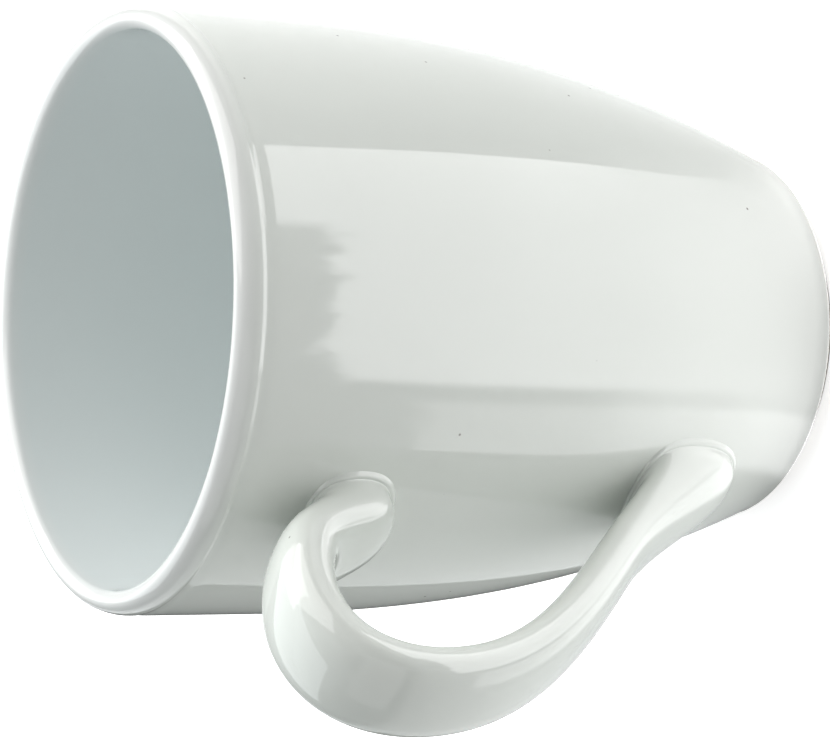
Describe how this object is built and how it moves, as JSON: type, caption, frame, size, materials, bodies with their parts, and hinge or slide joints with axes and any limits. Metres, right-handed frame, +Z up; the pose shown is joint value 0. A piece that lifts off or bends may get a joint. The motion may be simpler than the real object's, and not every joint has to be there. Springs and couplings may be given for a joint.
{
  "type": "soup mug",
  "caption": "Tall white glazed ceramic mug with a flared body, rounded lip, foot ring and an ear-shaped strap handle, for soup and hot drinks.",
  "frame": {"origin": "centre of the foot ring's standing face", "axes": "+Z up along the cup's axis, +X from the axis towards the handle"},
  "size_m": [0.1424, 0.101, 0.126],
  "materials": {
    "bisque": "bare fired clay, matt",
    "white_glaze": "clear white glaze, glossy",
    "slip": "fired slip under glaze"
  },
  "bodies": {
    "root": {"mug_body": "bisque", "cup_glaze": "white_glaze", "recess_glaze": "white_glaze", "handle": "bisque", "upper_slip_joint": "slip", "lower_slip_joint": "slip", "handle_glaze": "white_glaze"}
  },
  "joints": []
}
